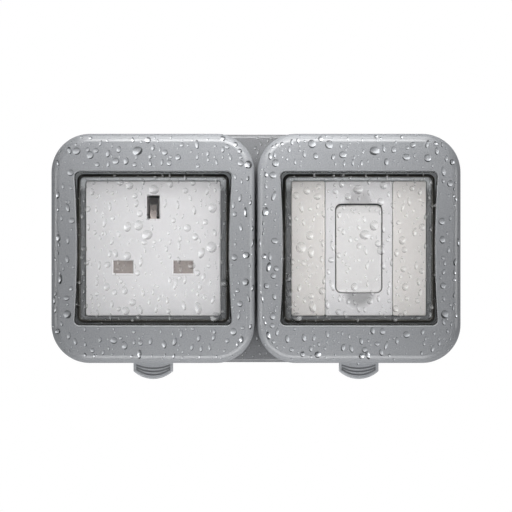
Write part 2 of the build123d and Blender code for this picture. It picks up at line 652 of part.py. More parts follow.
def socket_housing():
    shell = housing_shell(SOCKET_WIDTH)
    pole_half = CONTACT_GAP / 2 + CONTACT_SHEET
    for x in (-POLE_X, POLE_X):
        shell += block(
            x - POLE_CONTACT_WIDTH / 2, x + POLE_CONTACT_WIDTH / 2, POLE_HEIGHT - pole_half,
            POLE_HEIGHT + pole_half, HOUSING_FLOOR, CONTACT_BACK,
        )
        shell -= terminal_window(x, POLE_TERMINAL_HEIGHT, TERMINAL_WIDTH, TERMINAL_HEIGHT)
        shell -= wire_entry(x, -HOUSING_HEIGHT / 2, HOUSING_FOOT)
    shell += block(
        -pole_half, pole_half, EARTH_HEIGHT - EARTH_CONTACT_HEIGHT / 2,
        EARTH_HEIGHT + EARTH_CONTACT_HEIGHT / 2, HOUSING_FLOOR, CONTACT_BACK,
    )
    shell -= terminal_window(EARTH_TERMINAL_SHIFT, EARTH_HEIGHT, TERMINAL_WIDTH, TERMINAL_HEIGHT)
    shell -= wire_entry(EARTH_TERMINAL_SHIFT, -HOUSING_FOOT, HOUSING_HEIGHT / 2)
    guide_front = SHUTTER_BACK - SHUTTER_PLAY
    guide_low = SHUTTER_LOW - SHUTTER_TRAVEL
    for side in (-1, 1):
        edges = sorted((side * GUIDE_INNER, side * (GUIDE_INNER + GUIDE_WIDTH)))
        shell += block(edges[0], edges[1], guide_low, SHUTTER_HIGH, HOUSING_FLOOR, guide_front)
        x = side * SOCKET_COLUMN_X
        shell += rod(x, SOCKET_COLUMN_Z, SOCKET_COLUMN_RADIUS, HOUSING_BACK, COLUMN_FRONT)
        hole = SOCKET_SCREW_RADIUS + SHUTTER_PLAY
        shell -= rod(x, SOCKET_COLUMN_Z, hole, SOCKET_SCREW_SEAT, COLUMN_FRONT)
        head = SOCKET_SCREW_HEAD + SHUTTER_PLAY
        shell -= rod(x, SOCKET_COLUMN_Z, head, HOUSING_BACK, SOCKET_SCREW_SEAT)
    return shell


def socket_screws():
    length = COLUMN_FRONT - SOCKET_SCREW_SEAT + SOCKET_SCREW_GRIP - SHUTTER_PLAY
    screw = slotted_screw(SOCKET_SCREW_HEAD, SOCKET_SCREW_RADIUS, SOCKET_SCREW_RADIUS, length)
    screw = Rot(0, 0, 180) * screw
    spots = (-SOCKET_COLUMN_X, SOCKET_COLUMN_X)
    return [Pos(x, -SOCKET_SCREW_SEAT, SOCKET_COLUMN_Z) * screw for x in spots]


def shutter():
    half = SHUTTER_WIDTH / 2
    arm = SHUTTER_ARM / 2
    body = block(-half, half, SHUTTER_LOW, SHUTTER_HIGH, SHUTTER_BACK, SHUTTER_FRONT)
    body += block(-arm, arm, SHUTTER_HIGH, EARTH_LOW, SHUTTER_BACK, SHUTTER_FRONT)
    ramp_top = EARTH_LOW + SHUTTER_TRAVEL
    ramp_back = SHUTTER_FRONT - RAMP_DEPTH - RAMP_WEB
    ramp = Polygon(
        (SHUTTER_FRONT, EARTH_LOW),
        (SHUTTER_FRONT - RAMP_DEPTH, ramp_top),
        (ramp_back, ramp_top),
        (ramp_back, ramp_top - RAMP_WEB),
        (SHUTTER_BACK, EARTH_LOW - RAMP_WEB),
        (SHUTTER_FRONT, EARTH_LOW - RAMP_WEB),
        align=None,
    )
    body += rail(ramp, -arm, arm)
    pad = SPRING_PAD / 2
    return body + block(-pad, pad, SPRING_PAD_LOW, SHUTTER_LOW, SPRING_PAD_BACK, SHUTTER_FRONT)


def coil(radius, wire, turns, length):
    # stands on z = 0 and ends at its length, the wire's own thickness included
    climb = length - wire
    path = Helix(pitch=climb / turns, height=climb, radius=radius)
    start = Plane(origin=path @ 0, z_dir=path % 0)
    return Pos(0, 0, wire / 2) * sweep(start * RegularPolygon(wire / 2, 6), path=path, is_frenet=True)


def shutter_spring():
    depth = SHUTTER_FRONT - SPRING_PAD / 2
    length = SPRING_PAD_LOW - HOUSING_FOOT
    spring = coil(SHUTTER_SPRING_RADIUS, SHUTTER_SPRING_WIRE, SHUTTER_SPRING_TURNS, length)
    return Pos(0, -depth, HOUSING_FOOT) * spring


def contact_profile():
    # a sheet folded round the pin, lips flared; drawn about the pin as (depth, across)
    middle = (CONTACT_GAP + CONTACT_SHEET) / 2
    inside = CONTACT_GAP / 2
    outside = inside + CONTACT_SHEET
    lip = CONTACT_BASE + CONTACT_LENGTH
    tip = lip - (middle - inside)
    flare = CONTACT_FLARE
    return Polygon(
        (CONTACT_BACK, -outside),
        (tip, -outside),
        (lip, -outside - flare),
        (lip, -inside - flare),
        (tip, -inside),
        (CONTACT_BASE, -inside),
        (CONTACT_BASE, inside),
        (tip, inside),
        (lip, inside + flare),
        (lip, outside + flare),
        (tip, outside),
        (CONTACT_BACK, outside),
        align=None,
    )


def pole_contact(x):
    half = POLE_CONTACT_WIDTH / 2
    clip = rail(Pos(0, POLE_HEIGHT) * contact_profile(), x - half, x + half)
    tail = TAIL_WIDTH / 2
    end = POLE_TERMINAL_HEIGHT - TERMINAL_HEIGHT / 2
    return clip + block(x - tail, x + tail, end, POLE_HEIGHT, CONTACT_BACK, CONTACT_BASE)


def earth_contact():
    half = EARTH_CONTACT_HEIGHT / 2
    plan = Rot(0, 0, -90) * contact_profile()
    clip = pillar(plan, EARTH_HEIGHT - half, EARTH_HEIGHT + half)
    tail = TAIL_WIDTH / 2
    end = EARTH_TERMINAL_SHIFT + TERMINAL_WIDTH / 2
    return clip + block(0, end, EARTH_HEIGHT - tail, EARTH_HEIGHT + tail, CONTACT_BACK, CONTACT_BASE)


def socket_terminal_spots():
    return [
        (-POLE_X, POLE_TERMINAL_HEIGHT),
        (POLE_X, POLE_TERMINAL_HEIGHT),
        (EARTH_TERMINAL_SHIFT, EARTH_HEIGHT),
    ]


def terminal(x, z, width, front):
    half = width / 2
    low = z - TERMINAL_HEIGHT / 2
    high = z + TERMINAL_HEIGHT / 2
    brass = block(x - half, x + half, low, high, HOUSING_BACK, front)
    brass -= rod(x, z, TERMINAL_SCREW_RADIUS + SCREW_FIT, HOUSING_BACK, HOUSING_BACK + CONTACT_SEAT / 2)
    return brass - wire_entry(x, low, high)


def terminal_screw(x, z):
    # grub screw turned from the back of the module
    front = HOUSING_BACK + TERMINAL_SCREW_LENGTH - SCREW_SLOT_DEPTH
    back = front - TERMINAL_SCREW_LENGTH
    screw = rod(x, z, TERMINAL_SCREW_RADIUS, back, front)
    half = TERMINAL_SCREW_RADIUS
    slot = SCREW_SLOT_WIDTH / 2
    return screw - block(x - half, x + half, z - slot, z + slot, back, back + SCREW_SLOT_DEPTH)


def socket_terminals():
    front = HOUSING_BACK + CONTACT_SEAT
    return [terminal(x, z, TERMINAL_WIDTH, front) for x, z in socket_terminal_spots()]


def socket_terminal_screws():
    return [terminal_screw(x, z) for x, z in socket_terminal_spots()]


def switch_plate():
    plate = module_plate(MODULE_WIDTH)
    hole_height = ROCKER_HEIGHT + 2 * ROCKER_GAP_END
    scoop = (SCOOP_RADIUS**2 + SCOOP_DEPTH**2) / (2 * SCOOP_DEPTH)
    for side in (-1, 1):
        centre = -(PLATE_FRONT + scoop - SCOOP_DEPTH)
        plate -= Pos(0, centre, side * hole_height / 2) * Sphere(scoop)
    hole_width = ROCKER_WIDTH + 2 * ROCKER_GAP_SIDE
    corner = ROCKER_CORNER + ROCKER_GAP_SIDE
    return plate - plate_block(hole_width, hole_height, corner, PLATE_BACK, PLATE_FRONT)


def switch_housing():
    shell = housing_shell(SWITCH_WIDTH)
    bearing = TRUNNION_RADIUS + TRUNNION_PLAY
    slot = Pos(ROCKER_PIVOT, 0) * Circle(bearing)
    slot += Pos((ROCKER_PIVOT + PLATE_BACK) / 2, 0) * Rectangle(PLATE_BACK - ROCKER_PIVOT, 2 * bearing)
    shell -= rail(slot, -SWITCH_WIDTH / 2, SWITCH_WIDTH / 2)
    for side in (-1, 1):
        z = side * WAY_TERMINAL_HEIGHT
        shell -= terminal_window(0, z, TERMINAL_WIDTH, TERMINAL_HEIGHT)
        edges = sorted((side * -HOUSING_FOOT, side * HOUSING_HEIGHT / 2))
        shell -= wire_entry(0, edges[0], edges[1])
    return shell - terminal_window(COMMON_X, 0, COMMON_TERMINAL_WIDTH, TERMINAL_HEIGHT)


def tilt_rocker(solid):
    return Pos(0, -ROCKER_PIVOT, 0) * Rot(ROCKER_TILT, 0, 0) * Pos(0, ROCKER_PIVOT, 0) * solid


def rocker():
    back = ROCKER_PIVOT - ROCKER_SKIRT
    body = plate_block(ROCKER_WIDTH, ROCKER_HEIGHT, ROCKER_CORNER, back, ROCKER_FRONT)
    body = fillet(front_face(body).edges(), ROCKER_EDGE)
    end = ROCKER_HEIGHT / 2
    face = ROCKER_FRONT - ROCKER_LIP_RISE
    dish = Polygon(
        (ROCKER_FRONT, end),
        (face, end - ROCKER_LIP),
        (face, ROCKER_LIP - end),
        (ROCKER_FRONT, -end),
        align=None,
    )
    body -= rail(dish, -ROCKER_WIDTH / 2, ROCKER_WIDTH / 2)
    shrink = 2 * ROCKER_SKIN
    inside = face - ROCKER_SKIN
    hollow = Rectangle(ROCKER_WIDTH - shrink, ROCKER_HEIGHT - shrink)
    body -= slab(hollow, back, inside)
    body += rod(0, 0, STEM_RADIUS, ROCKER_PIVOT - STEM_LENGTH, inside)
    body -= rod(0, 0, STEM_BORE, ROCKER_PIVOT - STEM_LENGTH, ROCKER_PIVOT + STEM_BORE_TOP)
    reach = SWITCH_WIDTH / 2 - TRUNNION_END_PLAY
    root = ROCKER_WIDTH / 2 - ROCKER_SKIN
    body += cross_rod(ROCKER_PIVOT, 0, TRUNNION_RADIUS, root, reach)
    body += cross_rod(ROCKER_PIVOT, 0, TRUNNION_RADIUS, -reach, -root)
    return tilt_rocker(body)


def plunger_tip():
    return SEESAW_FRONT + SEESAW_RUN


def rocker_plunger():
    centre = plunger_tip() + PLUNGER_RADIUS
    body = rod(0, 0, PLUNGER_RADIUS, centre, centre + PLUNGER_HEAD)
    return tilt_rocker(body + Pos(0, -centre, 0) * Sphere(PLUNGER_RADIUS))


def rocker_spring():
    back = plunger_tip() + PLUNGER_RADIUS + PLUNGER_HEAD
    length = ROCKER_PIVOT + STEM_BORE_TOP - back
    spring = coil(ROCKER_SPRING_RADIUS, ROCKER_SPRING_WIRE, ROCKER_SPRING_TURNS, length)
    return tilt_rocker(Pos(0, -back, 0) * Rot(90, 0, 0) * spring)


def moving_contact():
    half = SEESAW_WIDTH / 2
    end = SEESAW_LENGTH / 2
    strip = block(-half, half, -end, end, SEESAW_PIVOT, SEESAW_FRONT)
    strip -= cross_rod(SEESAW_PIVOT, 0, RIDGE_RADIUS + RIDGE_PLAY, -half, half)
    return Pos(0, -SEESAW_PIVOT, 0) * Rot(-SEESAW_TILT, 0, 0) * Pos(0, SEESAW_PIVOT, 0) * strip


def common_contact():
    half = SEESAW_WIDTH / 2
    side = COMMON_X - COMMON_TERMINAL_WIDTH / 2
    strip = block(-half, side, -half, half, HOUSING_FLOOR, HOUSING_FLOOR + SEESAW_SHEET)
    strip += block(-half, half, -RIDGE_RADIUS, RIDGE_RADIUS, HOUSING_FLOOR, SEESAW_PIVOT)
    return strip + cross_rod(SEESAW_PIVOT, 0, RIDGE_RADIUS, -half, half)


def fixed_contacts():
    half = SEESAW_WIDTH / 2
    drop = SEESAW_LENGTH / 2 * Vector(1, 0, 0).rotate(Axis.Z, SEESAW_TILT).Y
    front = SEESAW_PIVOT - drop - FIXED_CONTACT_RUN
    root = WAY_TERMINAL_HEIGHT - TERMINAL_HEIGHT / 2
    tip = root - FIXED_CONTACT_REACH
    upper = block(-half, half, tip, root, front - SEESAW_SHEET, front)
    lower = block(-half, half, -root, -tip, front - SEESAW_SHEET, front)
    return [upper, lower]


def switch_terminals():
    return [
        terminal(0, WAY_TERMINAL_HEIGHT, TERMINAL_WIDTH, SWITCH_TERMINAL_FRONT),
        terminal(0, -WAY_TERMINAL_HEIGHT, TERMINAL_WIDTH, SWITCH_TERMINAL_FRONT),
        terminal(COMMON_X, 0, COMMON_TERMINAL_WIDTH, SWITCH_TERMINAL_FRONT),
    ]


def switch_terminal_screws():
    spots = [(0, WAY_TERMINAL_HEIGHT), (0, -WAY_TERMINAL_HEIGHT), (COMMON_X, 0)]
    return [terminal_screw(x, z) for x, z in spots]


def blank():
    cover = module_plate(MODULE_WIDTH / 2)
    half = HOOK_WIDTH / 2
    head = HOUSING_HEIGHT / 2
    back = LEDGE_BACK - HOOK_PLAY - HOOK_LENGTH
    cover += block(-half, half, head - HOUSING_WALL, head, back, PLATE_BACK)
    cover += block(-half, half, -head, HOUSING_WALL - head, back, PLATE_BACK)
    for hook in hooks():
        cover += hook
    return cover


left = Pos(-GANG_X, 0, 0)
right = Pos(GANG_X, 0, 0)
blank_shift = MODULE_WIDTH * 3 / 4

nodes = {
    "back_box": back_box(),
    "box_gasket": box_gasket(),
    "front_frame": front_frame(),
    "frame_screws": frame_screws(),
    "left_lid_seal": left * lid_seal(),
    "right_lid_seal": right * lid_seal(),
    "left_hinge_pin": left * hinge_pin(),
    "right_hinge_pin": right * hinge_pin(),
    "left_lid": left * lid(),
    "right_lid": right * lid(),
    "left_window": left * window(),
    "right_window": right * window(),
    "left_window_seal": left * window_seal(),
    "right_window_seal": right * window_seal(),
    "socket_plate": left * socket_plate(),
    "socket_housing": left * socket_housing(),
    "socket_screws": [left * screw for screw in socket_screws()],
    "shutter": left * shutter(),
    "shutter_spring": left * shutter_spring(),
    "live_contact": left * pole_contact(POLE_X),
    "neutral_contact": left * pole_contact(-POLE_X),
    "earth_contact": left * earth_contact(),
    "socket_terminals": [left * brass for brass in socket_terminals()],
    "socket_terminal_screws": [left * screw for screw in socket_terminal_screws()],
    "switch_plate": right * switch_plate(),
    "switch_housing": right * switch_housing(),
    "rocker": right * rocker(),
    "rocker_plunger": right * rocker_plunger(),
    "rocker_spring": right * rocker_spring(),
    "moving_contact": right * moving_contact(),
    "common_contact": right * common_contact(),
    "fixed_contacts": [right * strip for strip in fixed_contacts()],
    "switch_terminals": [right * brass for brass in switch_terminals()],
    "switch_terminal_screws": [right * screw for screw in switch_terminal_screws()],
    "inner_blank": right * Pos(-blank_shift, 0, 0) * blank(),
    "outer_blank": right * Pos(blank_shift, 0, 0) * blank(),
}

os.makedirs("parts", exist_ok=True)
for name, shape in nodes.items():
    if isinstance(shape, list):
        shape = Compound(children=shape)
    export_step(shape, f"parts/{name}.step")
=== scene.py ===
import json
import math
import random

import bpy
from mathutils import Matrix, Vector


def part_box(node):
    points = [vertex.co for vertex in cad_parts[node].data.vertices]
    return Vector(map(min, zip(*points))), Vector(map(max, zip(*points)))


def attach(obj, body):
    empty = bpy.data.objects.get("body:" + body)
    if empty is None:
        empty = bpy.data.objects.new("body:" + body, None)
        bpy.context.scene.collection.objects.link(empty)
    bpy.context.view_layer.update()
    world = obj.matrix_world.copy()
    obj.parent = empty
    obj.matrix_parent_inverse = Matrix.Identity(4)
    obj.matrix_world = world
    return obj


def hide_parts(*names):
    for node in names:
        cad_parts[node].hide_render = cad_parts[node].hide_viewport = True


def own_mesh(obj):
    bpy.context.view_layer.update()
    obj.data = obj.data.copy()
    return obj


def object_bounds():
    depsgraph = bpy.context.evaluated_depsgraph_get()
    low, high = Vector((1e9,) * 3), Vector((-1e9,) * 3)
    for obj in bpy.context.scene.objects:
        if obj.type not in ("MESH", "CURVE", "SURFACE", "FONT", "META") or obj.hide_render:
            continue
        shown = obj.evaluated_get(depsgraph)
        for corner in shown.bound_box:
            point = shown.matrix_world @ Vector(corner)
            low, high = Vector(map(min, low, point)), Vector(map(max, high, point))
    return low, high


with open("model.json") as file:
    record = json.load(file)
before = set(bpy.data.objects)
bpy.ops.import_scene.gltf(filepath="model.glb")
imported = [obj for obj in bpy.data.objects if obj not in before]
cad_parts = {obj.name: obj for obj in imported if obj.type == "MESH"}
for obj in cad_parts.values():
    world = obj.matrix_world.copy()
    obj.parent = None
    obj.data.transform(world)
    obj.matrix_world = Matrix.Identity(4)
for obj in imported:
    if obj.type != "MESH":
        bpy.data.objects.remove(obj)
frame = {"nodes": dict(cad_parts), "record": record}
cad_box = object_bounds()
bpy.ops.object.select_all(action="DESELECT")

# BACK BOX AND FRONT FRAME
# The box that is screwed to the wall and the frame that closes it: two mouldings in UV-stable grey plastic
# with a fine spark-eroded grain, satin rather than glossy. Inside the two module openings the frame's grey
# carries painted shade, and painted light along their upper edges.
MM = 0.001
WEATHER_GREY = (0.285, 0.29, 0.3)
PLASTIC_IOR = 1.57
GRAIN_DETAIL = 3.0
GRAIN_ROUGHNESS = 0.65
FLECK_BAND = (0.3, 0.7)
CLOUDS_PER_METRE = 60.0
CLOUD_GLOSS = 0.03
GANG_MIDDLE = 38 * MM
OPENING_HALF = 30 * MM
OPENING_PAINTED_SHADE = 0.5
OPENING_PAINTED_LIGHT = 3.0
PAINTED_LIGHT_START = 21 * MM
PAINTED_LIGHT_END = 25 * MM
WELD_REACH = 0.002 * MM
CRISP_EDGE = math.radians(28)


def feed(finish, socket, value):
    """Sets a socket to a number, or links it to what another node gives."""
    if isinstance(value, bpy.types.NodeSocket):
        finish.node_tree.links.new(value, socket)
    else:
        socket.default_value = value


def between(finish, share, first, last, start=0.0, end=1.0, soft=False):
    """A value that goes from first to last as share goes from start to end, and stays there beyond them."""
    step = finish.node_tree.nodes.new("ShaderNodeMapRange")
    step.interpolation_type = "SMOOTHSTEP" if soft else "LINEAR"
    step.inputs["From Min"].default_value = start
    step.inputs["From Max"].default_value = end
    feed(finish, step.inputs["Value"], share)
    feed(finish, step.inputs["To Min"], first)
    feed(finish, step.inputs["To Max"], last)
    return step.outputs["Result"]


def reckon(finish, operation, first, second=0.0):
    """One step of arithmetic on numbers or on what other nodes give."""
    step = finish.node_tree.nodes.new("ShaderNodeMath")
    step.operation = operation
    feed(finish, step.inputs[0], first)
    feed(finish, step.inputs[1], second)
    return step.outputs["Value"]


def unevenness(material, place, per_metre, detail=2.0, roughness=0.5):
    """A cloudy pattern with about so many clouds to the metre, as a value from 0 to 1."""
    pattern = material.node_tree.nodes.new("ShaderNodeTexNoise")
    pattern.inputs["Scale"].default_value = per_metre
    pattern.inputs["Detail"].default_value = detail
    pattern.inputs["Roughness"].default_value = roughness
    material.node_tree.links.new(place, pattern.inputs["Vector"])
    return pattern.outputs["Fac"]


def moulded_plastic(name, colour, roughness, shine=0.5, grain_mm=0.5, grain_depth_mm=0.002, fleck=0.11):
    """Plastic with a fine moulded grain: flecks in the colour, clouds in the gloss, a shallow relief."""
    material = bpy.data.materials.new(name)
    material.use_nodes = True
    nodes = material.node_tree.nodes
    links = material.node_tree.links
    plastic = nodes["Principled BSDF"]
    plastic.inputs["IOR"].default_value = PLASTIC_IOR
    plastic.inputs["Specular IOR Level"].default_value = shine
    place = nodes.new("ShaderNodeTexCoord").outputs["Object"]
    grain = unevenness(material, place, 1 / (grain_mm * MM), GRAIN_DETAIL, GRAIN_ROUGHNESS)
    shade = nodes.new("ShaderNodeValToRGB")
    for stop, position, tone in zip(shade.color_ramp.elements, FLECK_BAND, (1 - fleck, 1 + fleck)):
        stop.position = position
        stop.color = [part * tone for part in colour] + [1]
    links.new(grain, shade.inputs["Fac"])
    links.new(shade.outputs["Color"], plastic.inputs["Base Color"])
    clouds = unevenness(material, place, CLOUDS_PER_METRE)
    gloss = between(material, clouds, roughness - CLOUD_GLOSS, roughness + CLOUD_GLOSS)
    links.new(gloss, plastic.inputs["Roughness"])
    relief = nodes.new("ShaderNodeBump")
    relief.inputs["Distance"].default_value = grain_depth_mm * MM
    links.new(grain, relief.inputs["Height"])
    links.new(relief.outputs["Normal"], plastic.inputs["Normal"])
    return material


def place_on(material):
    """The X, Y and Z of a point on a piece, for a plastic whose tone changes from place to place."""
    nodes = material.node_tree.nodes
    axes = nodes.new("ShaderNodeSeparateXYZ")
    material.node_tree.links.new(nodes["Texture Coordinate"].outputs["Object"], axes.inputs["Vector"])
    return axes.outputs


def paint_light_and_shade(material, amount):
    """Paints shade into a plastic's colour where the amount is under 1, and painted light where it is over.
    """
    paint = material.node_tree.nodes["Principled BSDF"].inputs["Base Color"]
    links = material.node_tree.links
    scaled = material.node_tree.nodes.new("ShaderNodeVectorMath")
    scaled.operation = "SCALE"
    links.new(paint.links[0].from_socket, scaled.inputs[0])
    links.new(amount, scaled.inputs["Scale"])
    links.new(scaled.outputs["Vector"], paint)


def paint_openings_light_and_shade(material):
    """Paints shade onto the grey inside the two module openings, and painted light along their upper edges.
    """
    place = place_on(material)
    from_centre = reckon(material, "ABSOLUTE", place["X"])
    sideways = reckon(material, "ABSOLUTE", reckon(material, "SUBTRACT", from_centre, GANG_MIDDLE))
    upright = reckon(material, "ABSOLUTE", place["Z"])
    farthest = reckon(material, "MAXIMUM", sideways, upright)
    inside = reckon(material, "LESS_THAN", farthest, OPENING_HALF)
    tone = between(material, place["Z"], OPENING_PAINTED_SHADE, OPENING_PAINTED_LIGHT, PAINTED_LIGHT_START, PAINTED_LIGHT_END)
    paint_light_and_shade(material, between(material, inside, 1.0, tone))


def dress(material, *names):
    """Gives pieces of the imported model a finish, and soft shading across their rounded edges."""
    for name in names:
        node = frame["nodes"][name]
        node.data.materials.clear()
        node.data.materials.append(material)
        for face in node.data.polygons:
            face.use_smooth = True
        weld = node.modifiers.new("one skin", "WELD")
        weld.merge_threshold = WELD_REACH
        split = node.modifiers.new("crisp edges", "EDGE_SPLIT")
        split.split_angle = CRISP_EDGE
        even = node.modifiers.new("even shading", "WEIGHTED_NORMAL")
        even.keep_sharp = True


box_grey = moulded_plastic("weatherproof grey", WEATHER_GREY, roughness=0.42)
dress(box_grey, "back_box")
frame_grey = moulded_plastic("frame grey", WEATHER_GREY, roughness=0.25, shine=0.85)
# Painted shade inside the module openings, painted light along their upper edges.
paint_openings_light_and_shade(frame_grey)
dress(frame_grey, "front_frame")

# SEALS
# A black rubber cord in the box's rim and a flat black gasket behind each window; round each module opening
# a ring of brownish silicone that the window closes on.
RUBBER_BLACK = (0.035, 0.034, 0.032)
SILICONE_BROWN = (0.1, 0.093, 0.08)
rubber = moulded_plastic("black rubber", RUBBER_BLACK, roughness=0.62, grain_mm=0.3, fleck=0.25)
dress(rubber, "box_gasket", "left_window_seal", "right_window_seal")
silicone = moulded_plastic("brown silicone", SILICONE_BROWN, roughness=0.5, grain_mm=0.3, fleck=0.2)
dress(silicone, "left_lid_seal", "right_lid_seal")

# SCREWS, HINGE PINS AND ROCKER SPRING
# Stainless screws that hold the frame, the socket's plate and the wires, the straight pins that the lids
# hang on, and the spring wire in the rocker: bright metal with faint lines from drawing.
STEEL_GREY = (0.56, 0.56, 0.57)
LINE_STRETCH = (0.1, 1.0, 1.0)
LINE_DETAIL = 4.0
LINE_DARKNESS = 0.8
LINE_GLOSS = (0.8, 1.3)


def drawn_metal(name, colour, roughness, lines_mm):
    """Bare metal with fine lines from drawing or rolling, stretched along X."""
    material = bpy.data.materials.new(name)
    material.use_nodes = True
    nodes = material.node_tree.nodes
    links = material.node_tree.links
    metal = nodes["Principled BSDF"]
    metal.inputs["Metallic"].default_value = 1.0
    stretch = nodes.new("ShaderNodeMapping")
    stretch.inputs["Scale"].default_value = LINE_STRETCH
    links.new(nodes.new("ShaderNodeTexCoord").outputs["Object"], stretch.inputs["Vector"])
    lines = unevenness(material, stretch.outputs["Vector"], 1 / (lines_mm * MM), LINE_DETAIL)
    shade = nodes.new("ShaderNodeValToRGB")
    for stop, tone in zip(shade.color_ramp.elements, (LINE_DARKNESS, 1)):
        stop.color = [part * tone for part in colour] + [1]
    links.new(lines, shade.inputs["Fac"])
    links.new(shade.outputs["Color"], metal.inputs["Base Color"])
    smoother, rougher = LINE_GLOSS
    gloss = between(material, lines, roughness * smoother, roughness * rougher)
    links.new(gloss, metal.inputs["Roughness"])
    return material


steel = drawn_metal("stainless steel", STEEL_GREY, roughness=0.3, lines_mm=0.4)
dress(steel, "frame_screws", "left_hinge_pin", "right_hinge_pin", "socket_screws")
dress(steel, "socket_terminal_screws", "rocker_spring", "switch_terminal_screws")

# SHUTTER SPRING
# A coil of the same steel wire that stands on the housing's foot and holds the shutter up; the real one is
# pressed shorter as the shutter slides down, while this copy keeps its resting length.
WIRE_EDGE = math.radians(40)
spring_coil = bpy.data.objects.new("shutter_spring_coil", frame["nodes"]["shutter_spring"].data.copy())
bpy.context.collection.objects.link(spring_coil)
bpy.context.view_layer.objects.active = spring_coil
spring_coil.select_set(True)
bpy.ops.object.mode_set(mode="EDIT")
bpy.ops.mesh.select_all(action="SELECT")
bpy.ops.mesh.remove_doubles(threshold=WELD_REACH)
bpy.ops.object.mode_set(mode="OBJECT")
bpy.ops.object.shade_smooth_by_angle(angle=WIRE_EDGE)
spring_coil.data.materials.clear()
spring_coil.data.materials.append(steel)
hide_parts("shutter_spring")
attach(spring_coil, "base")
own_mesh(spring_coil)

# CONTACTS AND TERMINALS
# Rolled brass strip folded into clips, and sawn brass terminal blocks, inside the modules. The earth clip,
# which shows through its slot, is tinned, and the brass in the switch has tarnished.
BRASS_YELLOW = (0.62, 0.44, 0.17)
TIN_GREY = (0.8, 0.735, 0.73)
TARNISH_BROWN = (0.26, 0.215, 0.235)
brass = drawn_metal("rolled brass", BRASS_YELLOW, roughness=0.34, lines_mm=0.6)
dress(brass, "live_contact", "neutral_contact", "socket_terminals")
tinned = moulded_plastic("dull tin plating", TIN_GREY, roughness=0.6, grain_mm=0.6, fleck=0.15)
dress(tinned, "earth_contact")
tarnished = moulded_plastic("tarnished brass", TARNISH_BROWN, roughness=0.6, grain_mm=0.6, fleck=0.2)
dress(tarnished, "moving_contact", "common_contact", "fixed_contacts", "switch_terminals")

# MODULE HOUSINGS
# Dark grey mouldings behind the white plates, one for the socket and one for the switch. The contacts and
# terminals sit in them.
HOUSING_GREY = (0.12, 0.12, 0.125)
housing = moulded_plastic("housing grey", HOUSING_GREY, roughness=0.5)
dress(housing, "socket_housing", "switch_housing")

# SHUTTER
# Brownish grey slider, moulded in one with the ramp at its top. It closes the live and neutral slots until
# the earth pin pushes the ramp down. The ramp leans to the light, and painted light makes it paler.
SHUTTER_TAUPE = (0.45, 0.395, 0.37)
RAMP_FOOT = 5 * MM
RAMP_PAINTED_LIGHT = 1.7
TONE_BLUR = 0.15 * MM


def paint_light_shade_above(material, height, tone):
    """Scales the colour above a height, as painted light where the tone is over 1 and painted shade under 1.
    """
    height_now = place_on(material)["Z"]
    paint_light_and_shade(material, between(material, height_now, 1.0, tone, height - TONE_BLUR, height + TONE_BLUR))


shutter_plastic = moulded_plastic("shutter taupe", SHUTTER_TAUPE, roughness=0.5, grain_mm=0.8)
# Painted light on the ramp above its foot.
paint_light_shade_above(shutter_plastic, RAMP_FOOT, RAMP_PAINTED_LIGHT)
dress(shutter_plastic, "shutter")

# WHITE PLATES, ROCKER AND BLANKS
# Pressed white plates with a satin face, set in the frame's openings; the blanks come from another batch and
# are a little warmer. The rocker is glossier, with painted shade on its top facet, and the finger dishes
# above and below it carry painted shade.
PLATE_WHITE = (0.852, 0.828, 0.844)
BLANK_WHITE = (0.855, 0.81, 0.79)
ROCKER_WHITE = (0.87, 0.843, 0.845)
SATIN = {"roughness": 0.38, "grain_mm": 0.9, "grain_depth_mm": 0.004}
POLISHED = {"roughness": 0.3, "grain_mm": 0.9, "grain_depth_mm": 0.003}
PLATE_FACE = -44.5 * MM
DISH_DEPTH = 0.8 * MM
DISH_MIDDLE = 21 * MM
LOWER_DISH_SHADE = 0.5
UPPER_DISH_SHADE = 0.72
FACET_FOOT = 13.1 * MM
FACET_PAINTED_SHADE = 0.87


def paint_shade_in_dishes(material):
    """Paints shade into the finger dishes above and below the rocker, more in deeper parts and the lower
    dish.
    """
    place = place_on(material)
    deepest_shade = between(material, place["Z"], LOWER_DISH_SHADE, UPPER_DISH_SHADE, -DISH_MIDDLE, DISH_MIDDLE)
    dish_floor = PLATE_FACE + DISH_DEPTH
    paint_light_and_shade(material, between(material, place["Y"], 1.0, deepest_shade, PLATE_FACE, dish_floor))


plate_white = moulded_plastic("plate white", PLATE_WHITE, fleck=0.012, **SATIN)
dress(plate_white, "socket_plate", "rocker_plunger")
dished_white = moulded_plastic("dished plate white", PLATE_WHITE, fleck=0.012, **SATIN)
# Painted shade in the finger dishes.
paint_shade_in_dishes(dished_white)
dress(dished_white, "switch_plate")
blank_white = moulded_plastic("blank warm white", BLANK_WHITE, fleck=0.015, **SATIN)
dress(blank_white, "inner_blank", "outer_blank")
rocker_white = moulded_plastic("rocker white", ROCKER_WHITE, fleck=0.01, **POLISHED)
# Painted shade on the rocker's top facet.
paint_light_shade_above(rocker_white, FACET_FOOT, FACET_PAINTED_SHADE)
dress(rocker_white, "rocker")

# LIDS
# Deep grey covers moulded in one with their finger tabs, in the same grained plastic as the box. The grooves
# of the tabs carry painted shade, and the ribs between them painted light.
LID_GREY = (0.372, 0.382, 0.398)
TAB_TOP = -42.4 * MM
GROOVE_FLOOR = -42.5 * MM
GROOVE_BLUR = 0.35 * MM
GROOVE_PAINTED_SHADE = 0.75
RIB_PAINTED_LIGHT = 1.35


def paint_tab_light_and_shade(material):
    """Paints shade into the grooves of the finger tab, and painted light onto the ribs between them."""
    place = place_on(material)
    painted_relief = between(material, place["Y"], RIB_PAINTED_LIGHT, GROOVE_PAINTED_SHADE, GROOVE_FLOOR - GROOVE_BLUR, GROOVE_FLOOR)
    on_tab = reckon(material, "LESS_THAN", place["Z"], TAB_TOP)
    paint_light_and_shade(material, between(material, on_tab, 1.0, painted_relief))


